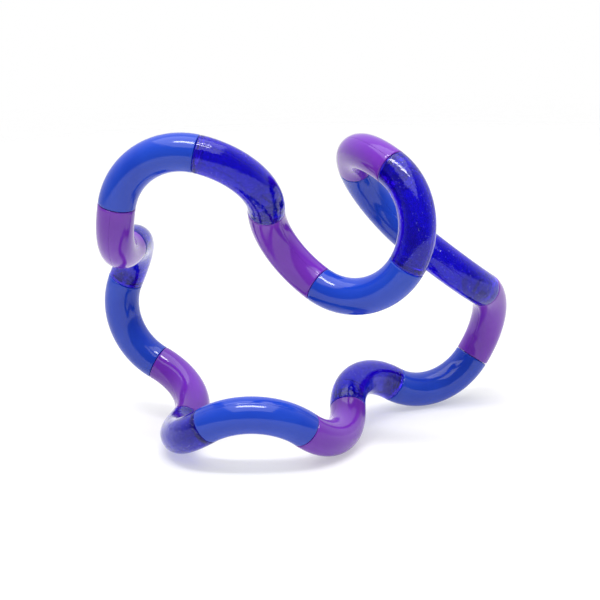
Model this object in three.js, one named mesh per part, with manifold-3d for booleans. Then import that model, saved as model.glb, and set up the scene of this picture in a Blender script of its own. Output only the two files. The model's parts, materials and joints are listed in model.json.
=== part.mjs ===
// An endless twist loop: eighteen hollow quarter-bend tubes in three repeating colours. Every piece plugs
// into the one before it with a split snap peg that turns freely in a socket, so the closed loop can be
// wrung into any shape. A piece is moulded as two half shells that meet on the plane of its bend.
// Millimetres, +Z up. The origin is on the floor, under the middle of the loop as it stands.

import * as THREE from 'three';
import { mergeVertices } from 'three/addons/utils/BufferGeometryUtils.js';
import Module from 'manifold-3d';

const wasm = await Module();
wasm.setup();

// ---- One piece. It starts at its peg, runs along +X and bends towards +Y; the seam is on Z = 0.

const BEND_RADIUS = 20.5; // of the tube's centreline
const TUBE_RADIUS = 5.5;
const WALL = 1.1;
const JOINT_GAP = 0.3; // between the end faces of neighbouring pieces
const SEAM_GAP = 0.3; // between the two half shells
const BULKHEAD = 1.6; // solid end that carries the peg
const SLEEVE = 7; // solid end that the socket is bored through
const QUARTER_TURN = Math.PI / 2;

const PEG_RADIUS = 2.8;
const BEAD_RADIUS = 3.2; // the snap bead, wider than the socket's throat
const TIP_RADIUS = 2.15;
const SLOT_WIDTH = 0.9; // lets the peg's two halves spring together
const RUNNING_GAP = 0.25; // between peg and socket
const GROOVE_PLAY = 0.05; // what the groove is deeper than that round the bead

// How far each feature lies from the joint's plane, into the socket
const BEAD_START = 2.9;
const BEAD_TOP = 3.4;
const BEAD_LENGTH = 0.2;
const BEAD_END = 4.2;
const PEG_LENGTH = 5.6;
const SOCKET_DEPTH = 8.2;
const ENTRY_CHAMFER = 0.4;

// Sides of the round shapes. A flat, not a corner, lies on the seam.
const TUBE_SIDES = 16;
const CAVITY_SIDES = 10;
const PEG_SIDES = 10;
const BEND_STEPS = 6;
const CAVITY_STEPS = 4;

// ---- The loop

const COLOURS = {
  blue: { color: 0x2f57d8, roughness: 0.22, metalness: 0 },
  navy: { color: 0x1a0fb4, roughness: 0.1, metalness: 0 },
  purple: { color: 0x7a35bd, roughness: 0.22, metalness: 0 },
};
const PIECES = 18;

// How far each piece is swivelled on its peg, in degrees, from carrying on its neighbour's curve (0) to
// bending straight back (180). This is the shape that the loop was left standing in.
const SWIVELS = [-88, 37, -155, -44, -12, -54, 0, -160, -97, 32, -124, 172, 87, -58, -121, 96, -82, -167];

// The first piece's peg: which way its axis runs, and how far its bend is rolled about it, in degrees
const FIRST_HEADING = -39;
const FIRST_CLIMB = 76;
const FIRST_ROLL = -61;

const FEET = [9, 11, 13]; // the three pieces that the loop stands on
const LEVELLING_PASSES = 8;
const FOOT_SAMPLES = 180; // points along a foot's centreline, to find its lowest

// ---- Solids

const MERGE_TOLERANCE = 1e-4; // corners closer than this are one corner

class BendCurve extends THREE.Curve {
  constructor(startAngle, endAngle) {
    super();
    this.startAngle = startAngle;
    this.endAngle = endAngle;
  }

  getPoint(t, target = new THREE.Vector3()) {
    const angle = THREE.MathUtils.lerp(this.startAngle, this.endAngle, t);
    return target.set(BEND_RADIUS * Math.sin(angle), BEND_RADIUS * (1 - Math.cos(angle)), 0);
  }
}

function solidOf(geometry) {
  const bare = geometry.clone();
  bare.deleteAttribute('normal');
  bare.deleteAttribute('uv');
  const merged = mergeVertices(bare, MERGE_TOLERANCE);
  const corners = [];
  for (let i = 0; i < merged.index.count; i += 3) {
    const [a, b, c] = [0, 1, 2].map((k) => merged.index.getX(i + k));
    if (a !== b && b !== c && c !== a) corners.push(a, b, c);
  }
  return new wasm.Manifold(
    new wasm.Mesh({
      numProp: 3,
      vertProperties: Float32Array.from(merged.attributes.position.array),
      triVerts: Uint32Array.from(corners),
    }),
  );
}

function geometryOf(solid) {
  const mesh = solid.getMesh();
  const geometry = new THREE.BufferGeometry();
  geometry.setAttribute('position', new THREE.BufferAttribute(mesh.vertProperties, 3));
  geometry.setIndex(new THREE.BufferAttribute(mesh.triVerts, 1));
  geometry.computeVertexNormals();
  return geometry;
}

function bentRod(radius, sides, steps, startAngle, endAngle) {
  const corners = [];
  for (let i = 0; i < sides; i++) {
    const angle = ((i + 0.5) / sides) * 2 * Math.PI;
    corners.push(new THREE.Vector2(radius * Math.cos(angle), radius * Math.sin(angle)));
  }
  return solidOf(
    new THREE.ExtrudeGeometry(new THREE.Shape(corners), {
      steps,
      bevelEnabled: false,
      extrudePath: new BendCurve(startAngle, endAngle),
    }),
  );
}

// A turned solid about +Y, from [radius, height] pairs that run upwards
function turned(profile) {
  const points = profile.map(([radius, height]) => new THREE.Vector2(radius, height));
  return new THREE.LatheGeometry(points, PEG_SIDES, Math.PI / PEG_SIDES);
}

function pegSolid() {
  const geometry = turned([
    [0, -BULKHEAD / 2],
    [PEG_RADIUS, -BULKHEAD / 2],
    [PEG_RADIUS, BEAD_START],
    [BEAD_RADIUS, BEAD_TOP],
    [BEAD_RADIUS, BEAD_TOP + BEAD_LENGTH],
    [PEG_RADIUS, BEAD_END],
    [TIP_RADIUS, PEG_LENGTH],
    [0, PEG_LENGTH],
  ]);
  const slot = new THREE.BoxGeometry(2 * PEG_LENGTH, 4 * BEAD_RADIUS, SLOT_WIDTH);
  slot.translate(-PEG_LENGTH - JOINT_GAP, 0, 0);
  return solidOf(geometry.rotateZ(QUARTER_TURN)).subtract(solidOf(slot));
}

function socketSolid() {
  const throat = PEG_RADIUS + RUNNING_GAP;
  const groove = BEAD_RADIUS + RUNNING_GAP + GROOVE_PLAY;
  const geometry = turned([
    [0, -SOCKET_DEPTH],
    [throat, -SOCKET_DEPTH],
    [throat, -BEAD_END - RUNNING_GAP],
    [groove, -BEAD_TOP - BEAD_LENGTH - RUNNING_GAP],
    [groove, -BEAD_TOP + RUNNING_GAP],
    [throat, -BEAD_START + RUNNING_GAP],
    [throat, -ENTRY_CHAMFER],
    [throat + ENTRY_CHAMFER, 0],
    [throat + ENTRY_CHAMFER, ENTRY_CHAMFER],
    [0, ENTRY_CHAMFER],
  ]);
  return solidOf(geometry.translate(BEND_RADIUS, BEND_RADIUS, 0));
}

function halfSpace(side) {
  const size = 4 * BEND_RADIUS;
  const box = new THREE.BoxGeometry(size, size, size);
  return solidOf(box.translate(0, 0, side * (size + SEAM_GAP) / 2));
}

function makeShells() {
  const faceAngle = JOINT_GAP / 2 / BEND_RADIUS;
  const cavityStart = faceAngle + BULKHEAD / BEND_RADIUS;
  const cavityEnd = QUARTER_TURN - SLEEVE / BEND_RADIUS;
  const tube = bentRod(TUBE_RADIUS, TUBE_SIDES, BEND_STEPS, faceAngle, QUARTER_TURN - faceAngle);
  const cavity = bentRod(TUBE_RADIUS - WALL, CAVITY_SIDES, CAVITY_STEPS, cavityStart, cavityEnd);
  const piece = tube.subtract(cavity).subtract(socketSolid()).add(pegSolid());
  return {
    left: geometryOf(piece.intersect(halfSpace(1))),
    right: geometryOf(piece.intersect(halfSpace(-1))),
  };
}

// ---- The loop's shape, as the direction of the tube's axis at each joint

// From one joint's direction to the next: the bend's plane is turned by the swivel angle
function walkLoop(swivels) {
  const directions = [new THREE.Vector3(1, 0, 0), new THREE.Vector3(0, 1, 0)];
  for (let i = 1; i <= PIECES; i++) {
    const onwards = directions[i - 1].clone().negate();
    directions.push(onwards.applyAxisAngle(directions[i], swivels[i % PIECES]));
  }
  return directions;
}

// What keeps the loop from closing: the directions must sum to nothing, since every joint lies one bend
// radius along its own direction and one along its neighbour's, and the last frame must be the first.
function mismatch(swivels) {
  const directions = walkLoop(swivels);
  const sum = new THREE.Vector3();
  for (let i = 0; i < PIECES; i++) sum.add(directions[i]);
  const turn = new THREE.Vector3();
  for (const i of [0, 1]) turn.add(directions[i].clone().cross(directions[PIECES + i]));
  return [...sum.toArray(), ...turn.toArray()];
}

// Gaussian elimination with row exchange
function solve(matrix, right) {
  const rows = matrix.map((row, i) => [...row, right[i]]);
  const size = rows.length;
  for (let i = 0; i < size; i++) {
    let best = i;
    for (let k = i + 1; k < size; k++) if (Math.abs(rows[k][i]) > Math.abs(rows[best][i])) best = k;
    [rows[i], rows[best]] = [rows[best], rows[i]];
    for (let k = 0; k < size; k++) {
      if (k === i) continue;
      const factor = rows[k][i] / rows[i][i];
      for (let j = i; j <= size; j++) rows[k][j] -= factor * rows[i][j];
    }
  }
  return rows.map((row, i) => row[size] / row[i]);
}

// The swivels are given in whole degrees. This turns each one by the least amount that shuts the loop.
function closeLoop(degrees) {
  const nudge = 1e-6;
  const passes = 12;
  let swivels = degrees.map(THREE.MathUtils.degToRad);
  for (let pass = 0; pass < passes; pass++) {
    const error = mismatch(swivels);
    const effects = swivels.map((_, k) => {
      const nudged = swivels.map((angle, i) => (i === k ? angle + nudge : angle));
      return mismatch(nudged).map((value, row) => (value - error[row]) / nudge);
    });
    const normal = error.map((_, row) =>
      error.map((__, column) => effects.reduce((total, effect) => total + effect[row] * effect[column], 0)),
    );
    const weights = solve(normal, error);
    swivels = swivels.map((angle, k) => angle - effects[k].reduce((sum, e, row) => sum + e * weights[row], 0));
  }
  return swivels;
}

// Joint i is where piece i starts. Each piece has the matrix that sets it in the loop.
function piecePlaces(swivels, firstFrame) {
  const directions = walkLoop(swivels);
  const joint = new THREE.Vector3();
  const places = [];
  for (let i = 0; i < PIECES; i++) {
    const [along, inwards] = [directions[i], directions[i + 1]];
    const place = new THREE.Matrix4().makeBasis(along, inwards, along.clone().cross(inwards));
    places.push(place.setPosition(joint).premultiply(firstFrame));
    joint.addScaledVector(along, BEND_RADIUS).addScaledVector(inwards, BEND_RADIUS);
  }
  return places;
}

function firstFrame() {
  const [heading, climb, roll] = [FIRST_HEADING, FIRST_CLIMB, FIRST_ROLL].map(THREE.MathUtils.degToRad);
  return new THREE.Matrix4().makeRotationFromEuler(new THREE.Euler(roll, -climb, heading, 'ZYX'));
}

function lowestPoint(place) {
  const samples = new BendCurve(0, QUARTER_TURN).getPoints(FOOT_SAMPLES);
  const points = samples.map((point) => point.applyMatrix4(place));
  return points.reduce((low, point) => (point.z < low.z ? point : low));
}

// Rocks the whole loop until the lowest points of its three feet are level
function setDown(places) {
  const up = new THREE.Vector3(0, 0, 1);
  for (let pass = 0; pass < LEVELLING_PASSES; pass++) {
    const [a, b, c] = FEET.map((i) => lowestPoint(places[i]));
    const normal = b.sub(a).cross(c.sub(a)).normalize();
    if (normal.z < 0) normal.negate();
    const rock = new THREE.Matrix4().makeRotationFromQuaternion(
      new THREE.Quaternion().setFromUnitVectors(normal, up),
    );
    for (const place of places) place.premultiply(rock);
  }
}

// ---- The object

function makeMaterials() {
  const made = {};
  for (const [name, finish] of Object.entries(COLOURS)) {
    made[name] = new THREE.MeshStandardMaterial({ name, ...finish });
  }
  return made;
}

function makeLoop() {
  const loop = new THREE.Group();
  const shells = makeShells();
  const materials = makeMaterials();
  const colours = Object.keys(COLOURS);
  const places = piecePlaces(closeLoop(SWIVELS), firstFrame());
  setDown(places);
  places.forEach((place, i) => {
    const colour = colours[i % colours.length];
    const number = 1 + Math.floor(i / colours.length);
    for (const [side, shell] of Object.entries(shells)) {
      const mesh = new THREE.Mesh(shell, materials[colour]);
      mesh.name = `${colour}_${number}_${side}_shell`;
      mesh.applyMatrix4(place);
      loop.add(mesh);
    }
  });
  const box = new THREE.Box3().setFromObject(loop, true);
  const middle = box.getCenter(new THREE.Vector3());
  loop.position.set(-middle.x, -middle.y, -box.min.z);
  loop.updateMatrixWorld(true);
  return loop;
}

export default makeLoop();
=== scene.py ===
# %% [markdown]
# # An endless twist loop
# The toy is a closed chain of hollow quarter bends in three colours. Each bend plugs into the one before it
# with a snap peg that turns in a socket, so the loop can be wrung into any shape.
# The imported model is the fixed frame. It says where every joint is, and everything here is worked out from
# that.

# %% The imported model
import json
import math

import bmesh
import bpy
from mathutils import Matrix, Vector


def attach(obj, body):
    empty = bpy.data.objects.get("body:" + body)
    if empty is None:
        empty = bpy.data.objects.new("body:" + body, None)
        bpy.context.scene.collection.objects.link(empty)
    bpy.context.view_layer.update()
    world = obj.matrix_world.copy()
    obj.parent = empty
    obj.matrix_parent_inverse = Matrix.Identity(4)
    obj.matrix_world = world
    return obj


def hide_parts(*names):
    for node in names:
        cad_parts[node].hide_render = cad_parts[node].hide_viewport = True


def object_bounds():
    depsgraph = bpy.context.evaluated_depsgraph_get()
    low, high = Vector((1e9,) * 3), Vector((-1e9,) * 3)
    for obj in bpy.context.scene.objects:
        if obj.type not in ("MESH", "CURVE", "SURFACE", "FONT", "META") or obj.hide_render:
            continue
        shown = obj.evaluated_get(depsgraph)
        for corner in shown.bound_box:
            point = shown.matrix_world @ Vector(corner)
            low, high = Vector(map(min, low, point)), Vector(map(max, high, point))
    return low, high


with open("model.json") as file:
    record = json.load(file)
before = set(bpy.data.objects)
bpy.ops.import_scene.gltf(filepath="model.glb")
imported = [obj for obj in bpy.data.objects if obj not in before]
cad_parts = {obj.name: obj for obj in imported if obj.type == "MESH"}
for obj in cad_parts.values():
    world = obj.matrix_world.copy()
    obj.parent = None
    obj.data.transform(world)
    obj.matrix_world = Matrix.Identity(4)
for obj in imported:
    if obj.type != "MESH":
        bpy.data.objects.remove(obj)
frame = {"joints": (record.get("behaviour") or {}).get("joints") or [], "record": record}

MM = 0.001
cad_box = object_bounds()
print("CAD box in mm:", [[round(v / MM, 1) for v in corner] for corner in cad_box])

# %% [markdown]
# ## Where each bend lies
# A swivel's position is where one bend starts, and its axis is the way the tube runs there. A quarter bend
# runs one bend radius along its first direction and one along its last, so two neighbouring swivels give the
# bend radius. The loop closes, so its directions add up to nothing. That gives the one swivel that the
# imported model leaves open.

# %% The tube's direction at each swivel
order = list(frame["record"]["behaviour"]["bodies"])
swivels = {joint["name"].removesuffix("_swivel"): joint for joint in frame["joints"]}
opened = next(name for name in order if name not in swivels)
starts = {name: Vector(joint["pos_m"]) for name, joint in swivels.items()}


def neighbour(name, step):
    return order[(order.index(name) + step) % len(order)]


def direction(name):
    """The swivel's axis, pointing the way the loop runs."""
    axis = Vector(swivels[name]["axis"])
    after, before = neighbour(name, 1), neighbour(name, -1)
    along = starts[before] - starts[name] if after == opened else starts[name] - starts[after]
    return -axis.normalized() if axis.dot(along) > 0 else axis.normalized()


directions = {name: direction(name) for name in swivels}
directions[opened] = -sum(directions.values(), Vector())
directions[opened].normalize()
first, second = order[0], order[1]
BEND_RADIUS = (starts[second] - starts[first]).length / math.sqrt(2)
before = neighbour(opened, -1)
starts[opened] = starts[before] + BEND_RADIUS * (directions[before] + directions[opened])
print(f"bend radius {BEND_RADIUS / MM:.2f} mm, open swivel at {opened}")


# %% The matrix that sets a bend in the loop
def place(name):
    """Local X is the way the bend starts, local Y the way it ends, and its seam is on Z = 0."""
    along, inwards = directions[name], directions[neighbour(name, 1)]
    columns = Matrix((along, inwards, along.cross(inwards))).transposed()
    return Matrix.Translation(starts[name]) @ columns.to_4x4()


places = {name: place(name) for name in order}

# %% [markdown]
# ## One half shell
# Each bend is moulded as two half shells that are welded on the plane of the bend. At its start a solid
# bulkhead carries half of a split snap peg; at its end a thick sleeve is bored for the next bend's peg. In
# the clear bends all of this shows through the wall, so the inside is modelled too.
# The outside is a half disc swung round the bend's centre. That keeps its faces in clean rows, which a
# glossy finish needs. Cuts are left to the inside and the ends.

# %% Sizes of the bend, peg and socket
TUBE_RADIUS = 5.5 * MM
WALL = 1.1 * MM
BULKHEAD = 1.6 * MM
SLEEVE = 7 * MM
END_GAP = 0.07 * MM
SEAM_GAP = 0.008 * MM
RIM_ROUND = 0.3 * MM
SEAM_ROUND = 0.05 * MM

PEG_RADIUS = 2.8 * MM
BEAD_RADIUS = 3.2 * MM
TIP_RADIUS = 2.15 * MM
SLOT_WIDTH = 0.9 * MM
RUNNING_GAP = 0.25 * MM
BEAD_START = 2.9 * MM
BEAD_TOP = 3.4 * MM
BEAD_LENGTH = 0.2 * MM
BEAD_END = 4.2 * MM
PEG_LENGTH = 5.6 * MM
SOCKET_DEPTH = 8.2 * MM
ENTRY_CHAMFER = 0.4 * MM

TUBE_SIDES = 72
CAVITY_SIDES = 56
BEND_STEPS = 40
TURNED_STEPS = 56
RIM_SEGMENTS = 3
SEAM_SEGMENTS = 2
MERGE_DISTANCE = 0.001 * MM
QUARTER_TURN = math.pi / 2
BEND_CENTRE = Vector((0, BEND_RADIUS, 0))


# %% A half disc swung round the bend's centre
def half_rod(radius, sides, start_angle, end_angle, seam):
    shape = bmesh.new()
    facing_along = Matrix.Rotation(QUARTER_TURN, 4, "Y")
    bmesh.ops.create_circle(shape, cap_ends=True, radius=radius, segments=sides, matrix=facing_along)
    everything = shape.verts[:] + shape.edges[:] + shape.faces[:]
    bmesh.ops.bisect_plane(
        shape, geom=everything, plane_co=(0, 0, seam), plane_no=(0, 0, -1), clear_outer=True
    )
    turn = Matrix.Rotation(start_angle, 3, "Z")
    bmesh.ops.rotate(shape, verts=shape.verts, cent=BEND_CENTRE, matrix=turn)
    disc = shape.verts[:] + shape.edges[:] + shape.faces[:]
    bmesh.ops.spin(
        shape, geom=disc, cent=BEND_CENTRE, axis=(0, 0, 1), angle=end_angle - start_angle, steps=BEND_STEPS
    )
    bmesh.ops.recalc_face_normals(shape, faces=shape.faces)
    return shape


# %% A solid turned about +Y
def turned(profile):
    """Spins a line of (radius, height) points, which starts and ends on the axis, once round +Y."""
    shape = bmesh.new()
    corners = [shape.verts.new((radius, height, 0)) for radius, height in profile]
    lines = [shape.edges.new(pair) for pair in zip(corners, corners[1:])]
    bmesh.ops.spin(
        shape, geom=corners + lines, cent=(0, 0, 0), axis=(0, 1, 0), angle=2 * math.pi,
        steps=TURNED_STEPS, use_merge=True,
    )
    bmesh.ops.remove_doubles(shape, verts=shape.verts, dist=MERGE_DISTANCE)
    bmesh.ops.recalc_face_normals(shape, faces=shape.faces)
    return shape


# %% A mesh from a bmesh, and two meshes joined or cut
def mesh_of(shape, name):
    mesh = bpy.data.meshes.new(name)
    shape.to_mesh(mesh)
    shape.free()
    return mesh


def combine(base, tool, operation):
    """Joins or cuts two closed meshes with the exact solver, and returns the new mesh."""
    carrier, knife = (bpy.data.objects.new(mesh.name, mesh) for mesh in (base, tool))
    for helper in (carrier, knife):
        bpy.context.scene.collection.objects.link(helper)
    modifier = carrier.modifiers.new("cut", "BOOLEAN")
    modifier.operation, modifier.solver, modifier.object = operation, "EXACT", knife
    graph = bpy.context.evaluated_depsgraph_get()
    made = bpy.data.meshes.new_from_object(carrier.evaluated_get(graph))
    for helper in (carrier, knife):
        bpy.data.objects.remove(helper)
    return made


# %% [markdown]
# The rims that meet at a joint are slightly rounded, as a moulded edge is. Two such rims with a small gap
# between them draw the thin dark ring, with a bright line on each side, that marks every joint. The seam's
# edges are barely broken, so it stays a hairline.

# %% The outer half tube, with its rims and seam edges broken
def outer_half():
    face_angle = END_GAP / BEND_RADIUS
    shape = half_rod(TUBE_RADIUS, TUBE_SIDES, face_angle, QUARTER_TURN - face_angle, SEAM_GAP)
    caps = [face for face in shape.faces if len(face.verts) > 4]
    rims = {edge for cap in caps for edge in cap.edges if edge.calc_length() < TUBE_RADIUS}
    bmesh.ops.bevel(
        shape, geom=list(rims), offset=RIM_ROUND, segments=RIM_SEGMENTS, profile=0.5, affect="EDGES",
        material=-1,
    )
    top_of_seam = SEAM_GAP + MERGE_DISTANCE
    seams = [
        edge for edge in shape.edges
        if all(vert.co.z < top_of_seam for vert in edge.verts) and edge.calc_length() < TUBE_RADIUS
    ]
    bmesh.ops.bevel(
        shape, geom=seams, offset=SEAM_ROUND, segments=SEAM_SEGMENTS, profile=0.5, affect="EDGES",
        material=-1,
    )
    return mesh_of(shape, "outer_half")


# %% [markdown]
# A snap peg is split so that it can squeeze through the throat of the socket, and its raised bead then
# springs out into a groove. Both are turned shapes, so each is one profile spun about the tube's line. The
# slot is left open between the halves.

# %% Half of the split snap peg
def half_peg():
    shape = turned([
        (0, -BULKHEAD / 2),
        (PEG_RADIUS, -BULKHEAD / 2),
        (PEG_RADIUS, BEAD_START),
        (BEAD_RADIUS, BEAD_TOP),
        (BEAD_RADIUS, BEAD_TOP + BEAD_LENGTH),
        (PEG_RADIUS, BEAD_END),
        (TIP_RADIUS, PEG_LENGTH),
        (0, PEG_LENGTH),
    ])
    bmesh.ops.rotate(shape, verts=shape.verts, cent=(0, 0, 0), matrix=Matrix.Rotation(QUARTER_TURN, 3, "Z"))
    everything = shape.verts[:] + shape.edges[:] + shape.faces[:]
    cut = bmesh.ops.bisect_plane(
        shape, geom=everything, plane_co=(0, 0, SLOT_WIDTH / 2), plane_no=(0, 0, -1), clear_outer=True
    )
    rim = [item for item in cut["geom_cut"] if isinstance(item, bmesh.types.BMEdge)]
    bmesh.ops.contextual_create(shape, geom=rim)
    bmesh.ops.recalc_face_normals(shape, faces=shape.faces)
    return mesh_of(shape, "half_peg")


# %% The bore that takes the next bend's peg
def bore():
    throat = PEG_RADIUS + RUNNING_GAP
    groove = BEAD_RADIUS + RUNNING_GAP
    shape = turned([
        (0, -SOCKET_DEPTH),
        (throat, -SOCKET_DEPTH),
        (throat, -BEAD_END - RUNNING_GAP),
        (groove, -BEAD_TOP - BEAD_LENGTH - RUNNING_GAP),
        (groove, -BEAD_TOP + RUNNING_GAP),
        (throat, -BEAD_START + RUNNING_GAP),
        (throat, -ENTRY_CHAMFER),
        (throat + ENTRY_CHAMFER, 0),
        (throat + ENTRY_CHAMFER, ENTRY_CHAMFER),
        (0, ENTRY_CHAMFER),
    ])
    bmesh.ops.translate(shape, verts=shape.verts, vec=(BEND_RADIUS, BEND_RADIUS, 0))
    return mesh_of(shape, "bore")


# %% [markdown]
# The mould polishes the outside, but the inside is a little frosted. The clear finish has to know which is
# which, so the mesh carries that as an attribute.

# %% A mark on the surfaces inside the tube
def mark_inside(mesh):
    """Writes the attribute "inside": 0 on the polished outside, 1 on the cavity, bore and peg."""
    marks = mesh.attributes.new("inside", "FLOAT", "POINT")
    for mark, vertex in zip(marks.data, mesh.vertices):
        out_from_centre = math.hypot(vertex.co.x, vertex.co.y - BEND_RADIUS)
        from_middle = math.hypot(out_from_centre - BEND_RADIUS, vertex.co.z)
        mark.value = float(from_middle < TUBE_RADIUS - WALL / 2)


# %% The whole half shell, and its mirror image
def half_shell():
    cavity_start = (END_GAP + BULKHEAD) / BEND_RADIUS
    cavity_end = QUARTER_TURN - SLEEVE / BEND_RADIUS
    cavity = half_rod(TUBE_RADIUS - WALL, CAVITY_SIDES, cavity_start, cavity_end, -WALL)
    shell = combine(outer_half(), mesh_of(cavity, "cavity"), "DIFFERENCE")
    shell = combine(shell, bore(), "DIFFERENCE")
    shell = combine(shell, half_peg(), "UNION")
    mark_inside(shell)
    return shell


def mirrored(mesh):
    shape = bmesh.new()
    shape.from_mesh(mesh)
    bmesh.ops.scale(shape, verts=shape.verts, vec=(1, 1, -1))
    bmesh.ops.reverse_faces(shape, faces=shape.faces)
    return mesh_of(shape, "mirrored_shell")


shells = {"left": half_shell()}
shells["right"] = mirrored(shells["left"])


def open_edges(mesh):
    shape = bmesh.new()
    shape.from_mesh(mesh)
    count = sum(not edge.is_manifold for edge in shape.edges)
    volume = shape.calc_volume(signed=True)
    shape.free()
    return count, volume


for side, mesh in shells.items():
    count, volume = open_edges(mesh)
    print(f"{side} shell: {len(mesh.polygons)} faces, {count} open edges, {volume / MM**3:.0f} cubic mm")

# %% [markdown]
# ## Finishes
# All three plastics are polished mouldings that hands have wrung many times: a faint ripple in the gloss and
# a film of finger marks that lifts the roughness in patches. That effect is shared, so it is one node group.

# %% Small helpers for node trees
def add_node(tree, kind, **settings):
    node = tree.nodes.new(kind)
    for name, value in settings.items():
        if name in node.inputs:
            node.inputs[name].default_value = value
        else:
            setattr(node, name, value)
    return node


MIX_FACTOR, MIX_A, MIX_B, MIX_RESULT = 0, 6, 7, 2  # the colour sockets of a Mix node


def ramp(tree, source, low, high, low_value=0.0, high_value=1.0):
    """Maps a value from low..high to low_value..high_value, with soft ends."""
    node = add_node(tree, "ShaderNodeMapRange", interpolation_type="SMOOTHSTEP")
    for socket, value in zip(node.inputs[1:5], (low, high, low_value, high_value)):
        socket.default_value = value
    tree.links.new(source, node.inputs[0])
    return node.outputs[0]


# %% The start of a node group
def start_group(name, inputs, outputs):
    """Makes a group with the named sockets, and returns it with its input and output nodes."""
    group = bpy.data.node_groups.new(name, "ShaderNodeTree")
    for label, kind in inputs:
        group.interface.new_socket(label, in_out="INPUT", socket_type=kind)
    for label, kind in outputs:
        group.interface.new_socket(label, in_out="OUTPUT", socket_type=kind)
    return group, group.nodes.new("NodeGroupInput"), group.nodes.new("NodeGroupOutput")


NUMBER, COLOUR = "NodeSocketFloat", "NodeSocketColor"
WHITE = (1.0, 1.0, 1.0, 1.0)


# %% The handled gloss group
MARK_SCALE = 110.0
SWELL_SCALE = 420.0
GRAIN_SCALE = 2600.0
GRAIN_SHARE = 0.15


def make_handled_gloss():
    group, values, results = start_group(
        "handled_gloss",
        [("Polish", NUMBER), ("Finger marks", NUMBER), ("Ripple", NUMBER)],
        [("Roughness", NUMBER), ("Height", NUMBER)],
    )
    link = group.links.new
    where = add_node(group, "ShaderNodeTexCoord").outputs["Object"]

    marks = add_node(
        group, "ShaderNodeTexNoise", Scale=MARK_SCALE, Detail=5.0, Roughness=0.65, Distortion=0.6
    )
    link(where, marks.inputs["Vector"])
    film = ramp(group, marks.outputs["Fac"], 0.48, 0.72)
    strength = add_node(group, "ShaderNodeMath", operation="MULTIPLY_ADD")
    link(film, strength.inputs[0])
    link(values.outputs["Finger marks"], strength.inputs[1])
    link(values.outputs["Polish"], strength.inputs[2])
    link(strength.outputs[0], results.inputs["Roughness"])

    swell = add_node(group, "ShaderNodeTexNoise", Scale=SWELL_SCALE, Detail=2.0, Roughness=0.5)
    link(where, swell.inputs["Vector"])
    grain = add_node(group, "ShaderNodeTexNoise", Scale=GRAIN_SCALE, Detail=3.0, Roughness=0.6)
    link(where, grain.inputs["Vector"])
    both = add_node(group, "ShaderNodeMath", operation="MULTIPLY_ADD")
    link(grain.outputs["Fac"], both.inputs[0])
    both.inputs[1].default_value = GRAIN_SHARE
    link(swell.outputs["Fac"], both.inputs[2])
    height = add_node(group, "ShaderNodeMath", operation="MULTIPLY")
    link(both.outputs[0], height.inputs[0])
    link(values.outputs["Ripple"], height.inputs[1])
    link(height.outputs[0], results.inputs["Height"])
    return group


handled_gloss = make_handled_gloss()
print("handled gloss:", [item.name for item in handled_gloss.interface.items_tree])


# %% [markdown]
# Pigment is never stirred in perfectly. In the opaque plastics the colour drifts in long soft streaks,
# along the flow of the melt. In the clear one it lies in fine clouds. Both are the same effect at another
# scale, a noise that picks between two shades of one colour, so it is one group too.

# %% The pigment drift group
def make_pigment_drift():
    group, values, results = start_group(
        "pigment_drift",
        [
            ("Colour", COLOUR), ("Deep colour", COLOUR), ("Scale", NUMBER), ("Detail", NUMBER),
            ("Breakup", NUMBER), ("Swirl", NUMBER), ("From", NUMBER), ("To", NUMBER),
        ],
        [("Colour", COLOUR)],
    )
    link = group.links.new
    where = add_node(group, "ShaderNodeTexCoord").outputs["Object"]
    flow = add_node(group, "ShaderNodeTexNoise")
    link(where, flow.inputs["Vector"])
    for label, socket in (
        ("Scale", "Scale"), ("Detail", "Detail"), ("Breakup", "Roughness"), ("Swirl", "Distortion")
    ):
        link(values.outputs[label], flow.inputs[socket])
    drift = add_node(group, "ShaderNodeMapRange", interpolation_type="SMOOTHSTEP")
    link(flow.outputs["Fac"], drift.inputs["Value"])
    link(values.outputs["From"], drift.inputs["From Min"])
    link(values.outputs["To"], drift.inputs["From Max"])
    pigment = add_node(group, "ShaderNodeMix", data_type="RGBA")
    link(drift.outputs["Result"], pigment.inputs[MIX_FACTOR])
    link(values.outputs["Colour"], pigment.inputs[MIX_A])
    link(values.outputs["Deep colour"], pigment.inputs[MIX_B])
    link(pigment.outputs[MIX_RESULT], results.inputs["Colour"])
    return group


pigment_drift = make_pigment_drift()
print("pigment drift:", [item.name for item in pigment_drift.interface.items_tree])


# %% [markdown]
# A material starts from an empty tree. The opaque plastics are the same resin in two pigments, so they
# differ only in colour. A gloss moulding needs no coat: the resin's own surface is the gloss.

# %% Helpers for the materials
def linear(red, green, blue):
    """A screen colour, 0 to 255, as the linear values that a shader takes."""
    return tuple(((c / 255 + 0.055) / 1.055) ** 2.4 for c in (red, green, blue)) + (1.0,)


def start_material(name):
    material = bpy.data.materials.new(name)
    material.use_nodes = True
    tree = material.node_tree
    tree.nodes.clear()
    output = tree.nodes.new("ShaderNodeOutputMaterial")
    return material, tree, output


def add_surface_wear(tree, shader, polish, marks, ripple, depth):
    """Gives the shader the handled gloss, and returns the gloss and bump nodes for anything more."""
    gloss = add_node(tree, "ShaderNodeGroup", node_tree=handled_gloss)
    for name, value in (("Polish", polish), ("Finger marks", marks), ("Ripple", ripple)):
        gloss.inputs[name].default_value = value
    bump = add_node(tree, "ShaderNodeBump", Distance=depth)
    tree.links.new(gloss.outputs["Height"], bump.inputs["Height"])
    tree.links.new(gloss.outputs["Roughness"], shader.inputs["Roughness"])
    tree.links.new(bump.outputs["Normal"], shader.inputs["Normal"])
    return gloss, bump


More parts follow.
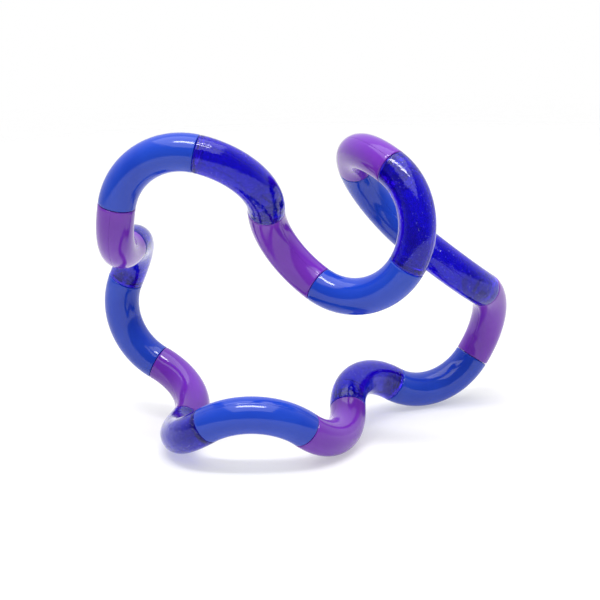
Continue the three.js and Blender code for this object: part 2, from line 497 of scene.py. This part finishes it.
def add_pigment(tree, colour, deep_colour, **settings):
    """Places the pigment drift group with its own values, and returns its colour."""
    pigment = add_node(tree, "ShaderNodeGroup", node_tree=pigment_drift)
    pigment.inputs["Colour"].default_value = colour
    pigment.inputs["Deep colour"].default_value = deep_colour
    for name, value in settings.items():
        pigment.inputs[name].default_value = value
    return pigment.outputs["Colour"]


# %% Opaque plastic
OPAQUE_IOR = 1.47


def opaque_plastic(name, colour, deep_colour):
    material, tree, output = start_material(name)
    shader = add_node(tree, "ShaderNodeBsdfPrincipled")
    shader.inputs["IOR"].default_value = OPAQUE_IOR
    pigment = add_pigment(
        tree, colour, deep_colour, Scale=38.0, Detail=3.0, Breakup=0.5, Swirl=1.2, From=0.35, To=0.65
    )
    tree.links.new(pigment, shader.inputs["Base Color"])
    add_surface_wear(tree, shader, polish=0.1, marks=0.1, ripple=0.6, depth=0.02 * MM)
    tree.links.new(shader.outputs[0], output.inputs["Surface"])
    return material


# %% [markdown]
# The clear bends are tinted right through. Light crosses two walls, so the middle of the tube looks deep
# blue and its edges pale. Fine flecks hang in the wall, where tiny bubbles caught the light as it set. They
# come from a cell pattern: each point close to a cell's seed is a pale fleck that stands slightly proud. A
# broad noise gathers them in drifts, as the melt left them.
# Their shadow is tinted too: to shadow rays the wall is a blue filter.

# %% Clear plastic
CLEAR_IOR = 1.45
CLEARNESS = 0.86
FLECK_SCALE = 1000.0
FLECK_CORE, FLECK_EDGE = 0.1, 0.21
DRIFT_SCALE = 130.0
DRIFT_EDGE, DRIFT_CORE = 0.38, 0.54
FLECK_TINT = linear(185, 180, 250)
FLECK_HEIGHT = 0.25
INNER_FROST = 0.04


def multiply_add(tree, source, factor, extra):
    """The source times the factor, plus the extra."""
    node = add_node(tree, "ShaderNodeMath", operation="MULTIPLY_ADD")
    tree.links.new(source, node.inputs[0])
    node.inputs[1].default_value = factor
    tree.links.new(extra, node.inputs[2])
    return node.outputs[0]


def clear_plastic(name, colour, deep_colour, shadow_colour):
    material, tree, output = start_material(name)
    link = tree.links.new
    shader = add_node(tree, "ShaderNodeBsdfPrincipled")
    shader.inputs["IOR"].default_value = CLEAR_IOR
    shader.inputs["Transmission Weight"].default_value = CLEARNESS
    pigment = add_pigment(
        tree, colour, deep_colour, Scale=1500.0, Detail=4.0, Breakup=0.8, Swirl=0.0, From=0.33, To=0.64
    )
    where = add_node(tree, "ShaderNodeTexCoord").outputs["Object"]
    seeds = add_node(tree, "ShaderNodeTexVoronoi", Scale=FLECK_SCALE)
    link(where, seeds.inputs["Vector"])
    drift = add_node(tree, "ShaderNodeTexNoise", Scale=DRIFT_SCALE, Detail=2.0)
    link(where, drift.inputs["Vector"])
    fleck = add_node(tree, "ShaderNodeMath", operation="MULTIPLY")
    link(ramp(tree, seeds.outputs["Distance"], FLECK_CORE, FLECK_EDGE, 1.0, 0.0), fleck.inputs[0])
    link(ramp(tree, drift.outputs["Fac"], DRIFT_EDGE, DRIFT_CORE), fleck.inputs[1])
    tint = add_node(tree, "ShaderNodeMix", data_type="RGBA")
    link(fleck.outputs[0], tint.inputs[MIX_FACTOR])
    link(pigment, tint.inputs[MIX_A])
    tint.inputs[MIX_B].default_value = FLECK_TINT
    link(tint.outputs[MIX_RESULT], shader.inputs["Base Color"])
    gloss, bump = add_surface_wear(tree, shader, polish=0.03, marks=0.05, ripple=1.0, depth=0.1 * MM)
    link(multiply_add(tree, fleck.outputs[0], FLECK_HEIGHT, gloss.outputs["Height"]), bump.inputs["Height"])
    inside = add_node(tree, "ShaderNodeAttribute", attribute_name="inside").outputs["Fac"]
    link(multiply_add(tree, inside, INNER_FROST, gloss.outputs["Roughness"]), shader.inputs["Roughness"])
    shadow_filter = add_node(tree, "ShaderNodeBsdfTransparent", Color=shadow_colour)
    light_path = add_node(tree, "ShaderNodeLightPath")
    choice = add_node(tree, "ShaderNodeMixShader")
    link(light_path.outputs["Is Shadow Ray"], choice.inputs[0])
    link(shader.outputs[0], choice.inputs[1])
    link(shadow_filter.outputs[0], choice.inputs[2])
    link(choice.outputs[0], output.inputs["Surface"])
    return material


# %% The three finishes
finishes = {
    "blue": opaque_plastic("blue_plastic", linear(30, 68, 187), linear(23, 61, 180)),
    "navy": clear_plastic(
        "clear_navy_plastic", linear(52, 10, 238), linear(24, 2, 190), linear(140, 138, 196)
    ),
    "purple": opaque_plastic("purple_plastic", linear(116, 48, 178), linear(108, 42, 170)),
}

# %% [markdown]
# ## The eighteen bends
# Every half shell is a copy of one of the two meshes, carried to its place in the loop by the matrix worked
# out from the swivels. It rides on its bend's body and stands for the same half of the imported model.

# %% Set every half shell in the loop
SHARP_ANGLE = math.radians(32)


def set_shell(name, side):
    mesh = shells[side].copy()
    mesh.name = f"{name}_{side}_moulding"
    mesh.transform(places[name])
    for polygon in mesh.polygons:
        polygon.use_smooth = True
    mesh.set_sharp_from_angle(angle=SHARP_ANGLE)
    colour = name.split("_")[0]
    mesh.materials.clear()
    mesh.materials.append(finishes[colour])
    piece = bpy.data.objects.new(mesh.name, mesh)
    bpy.context.scene.collection.objects.link(piece)
    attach(piece, name)
    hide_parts(f"{name}_{side}_shell")
    return piece


pieces = [set_shell(name, side) for name in order for side in shells]
print(f"{len(pieces)} half shells set")

# %% [markdown]
# ## The floor
# The toy stands on a seamless white table, like a sheet of paper that curves up out of sight. Here it is a
# flat grid that glows a little, so that only its shadows fall below white, and that fades out far from the
# toy. It is clear from below, so the underside of the toy can be looked at too.

# %% The floor
FLOOR_SIZE = 3.0
FLOOR_GREY = 0.5
FLOOR_GLOW = 0.43
FADE_START, FADE_END = 0.4, 0.75


def make_floor():
    shape = bmesh.new()
    bmesh.ops.create_grid(shape, x_segments=1, y_segments=1, size=FLOOR_SIZE / 2)
    bmesh.ops.translate(shape, verts=shape.verts, vec=(0, 0, cad_box[0][2]))
    floor = bpy.data.objects.new("floor", mesh_of(shape, "floor"))
    bpy.context.scene.collection.objects.link(floor)
    material, tree, output = start_material("white_floor")
    link = tree.links.new
    shader = add_node(tree, "ShaderNodeBsdfPrincipled", Roughness=0.6)
    shader.inputs["Base Color"].default_value = (FLOOR_GREY, FLOOR_GREY, FLOOR_GREY, 1.0)
    shader.inputs["Emission Color"].default_value = WHITE
    shader.inputs["Emission Strength"].default_value = FLOOR_GLOW
    where = add_node(tree, "ShaderNodeTexCoord").outputs["Object"]
    distance = add_node(tree, "ShaderNodeVectorMath", operation="LENGTH")
    link(where, distance.inputs[0])
    fade = ramp(tree, distance.outputs["Value"], FADE_START, FADE_END)
    below = tree.nodes.new("ShaderNodeNewGeometry").outputs["Backfacing"]
    unseen = add_node(tree, "ShaderNodeMath", operation="MAXIMUM")
    link(fade, unseen.inputs[0])
    link(below, unseen.inputs[1])
    clear = tree.nodes.new("ShaderNodeBsdfTransparent")
    choice = add_node(tree, "ShaderNodeMixShader")
    link(unseen.outputs[0], choice.inputs[0])
    link(shader.outputs[0], choice.inputs[1])
    link(clear.outputs[0], choice.inputs[2])
    link(choice.outputs[0], output.inputs["Surface"])
    floor.data.materials.append(material)


make_floor()


# %% [markdown]
# ## Light
# A wide soft panel overhead gives each tube its broad pale band and the faint shadow below. A narrow strip
# under it is small and bright, and makes the thin white streak along the top of each bend.

# %% The lights
def add_panel(name, position, target, width, depth, power):
    light = bpy.data.lights.new(name, "AREA")
    light.shape, light.size, light.size_y = "RECTANGLE", width, depth
    light.energy = power
    lamp = bpy.data.objects.new(name, light)
    lamp.location = position
    lamp.rotation_euler = (Vector(target) - Vector(position)).to_track_quat("-Z", "Y").to_euler()
    bpy.context.scene.collection.objects.link(lamp)


middle = (Vector(cad_box[0]) + Vector(cad_box[1])) / 2
add_panel("overhead_panel", (-0.05, -0.3, 0.95), (-0.05, -0.3, 0.0), width=1.1, depth=1.4, power=10.0)
add_panel("strobe_head", (-0.05, -0.27, 0.88), middle, width=0.55, depth=0.13, power=4.8)

# %% [markdown]
# Gloss shows the room. Behind the toy the room is white, so the tubes' edges mirror white. On the near side
# it is dim, so their faces keep a deep colour. The camera, and light through the clear bends, see plain
# white.

# %% The room
ROOM_TURN = 0.6
ROOM_NEAR, ROOM_FAR = 0.15, 0.9


def make_room():
    world = bpy.data.worlds.new("white_room")
    bpy.context.scene.world = world
    world.use_nodes = True
    tree = world.node_tree
    room = tree.nodes["Background"]
    where = add_node(tree, "ShaderNodeTexCoord").outputs["Generated"]
    axes = add_node(tree, "ShaderNodeSeparateXYZ")
    tree.links.new(where, axes.inputs[0])
    back = ramp(tree, axes.outputs["Y"], -ROOM_TURN, ROOM_TURN, ROOM_NEAR, ROOM_FAR)
    tree.links.new(back, room.inputs["Strength"])
    backdrop = add_node(tree, "ShaderNodeBackground", Strength=1.0)
    backdrop.inputs["Color"].default_value = WHITE
    room.inputs["Color"].default_value = WHITE
    light_path = add_node(tree, "ShaderNodeLightPath")
    seen = add_node(tree, "ShaderNodeMath", operation="MAXIMUM")
    tree.links.new(light_path.outputs["Is Camera Ray"], seen.inputs[0])
    tree.links.new(light_path.outputs["Is Transmission Ray"], seen.inputs[1])
    choice = add_node(tree, "ShaderNodeMixShader")
    tree.links.new(seen.outputs[0], choice.inputs[0])
    tree.links.new(room.outputs[0], choice.inputs[1])
    tree.links.new(backdrop.outputs[0], choice.inputs[2])
    tree.links.new(choice.outputs[0], tree.nodes["World Output"].inputs["Surface"])


make_room()

# %% [markdown]
# ## Camera
# It looks slightly down on the loop from half a metre, through a long lens, so that the bends keep their
# shape. A slight roll levels the view.

# %% The camera
CAMERA_ELEVATION = math.radians(14.95)
CAMERA_ROLL = math.radians(-1.44)
CAMERA_DISTANCE = 0.5203
CAMERA_FIELD = math.radians(19.9)
CLIP_NEAR, CLIP_FAR = 0.01, 50
AIM = Vector((-0.002, 0.0, 0.0433))


def add_camera():
    data = bpy.data.cameras.new("camera")
    data.angle = CAMERA_FIELD
    data.clip_start, data.clip_end = CLIP_NEAR, CLIP_FAR
    camera = bpy.data.objects.new("camera", data)
    back = Vector((0, -math.cos(CAMERA_ELEVATION), math.sin(CAMERA_ELEVATION)))
    camera.location = AIM + CAMERA_DISTANCE * back
    level = Matrix.Rotation(QUARTER_TURN - CAMERA_ELEVATION, 4, "X")
    camera.rotation_euler = (level @ Matrix.Rotation(CAMERA_ROLL, 4, "Z")).to_euler()
    bpy.context.scene.collection.objects.link(camera)
    bpy.context.scene.camera = camera


add_camera()
print(f"camera {CAMERA_DISTANCE} m away, {math.degrees(CAMERA_ELEVATION):.1f} degrees up")

# %% [markdown]
# ## How light is traced
# A ray through one clear bend crosses the outside, the cavity and both walls again, and often a second bend
# behind it. With few bounces those rays end black, so the limits are raised.

# %% Bounces and colour
LIGHT_BOUNCES = 16
scene = bpy.context.scene
scene.view_settings.view_transform = "Standard"
scene.cycles.max_bounces = LIGHT_BOUNCES
scene.cycles.transmission_bounces = LIGHT_BOUNCES
scene.cycles.transparent_max_bounces = LIGHT_BOUNCES
scene.cycles.use_denoising = True
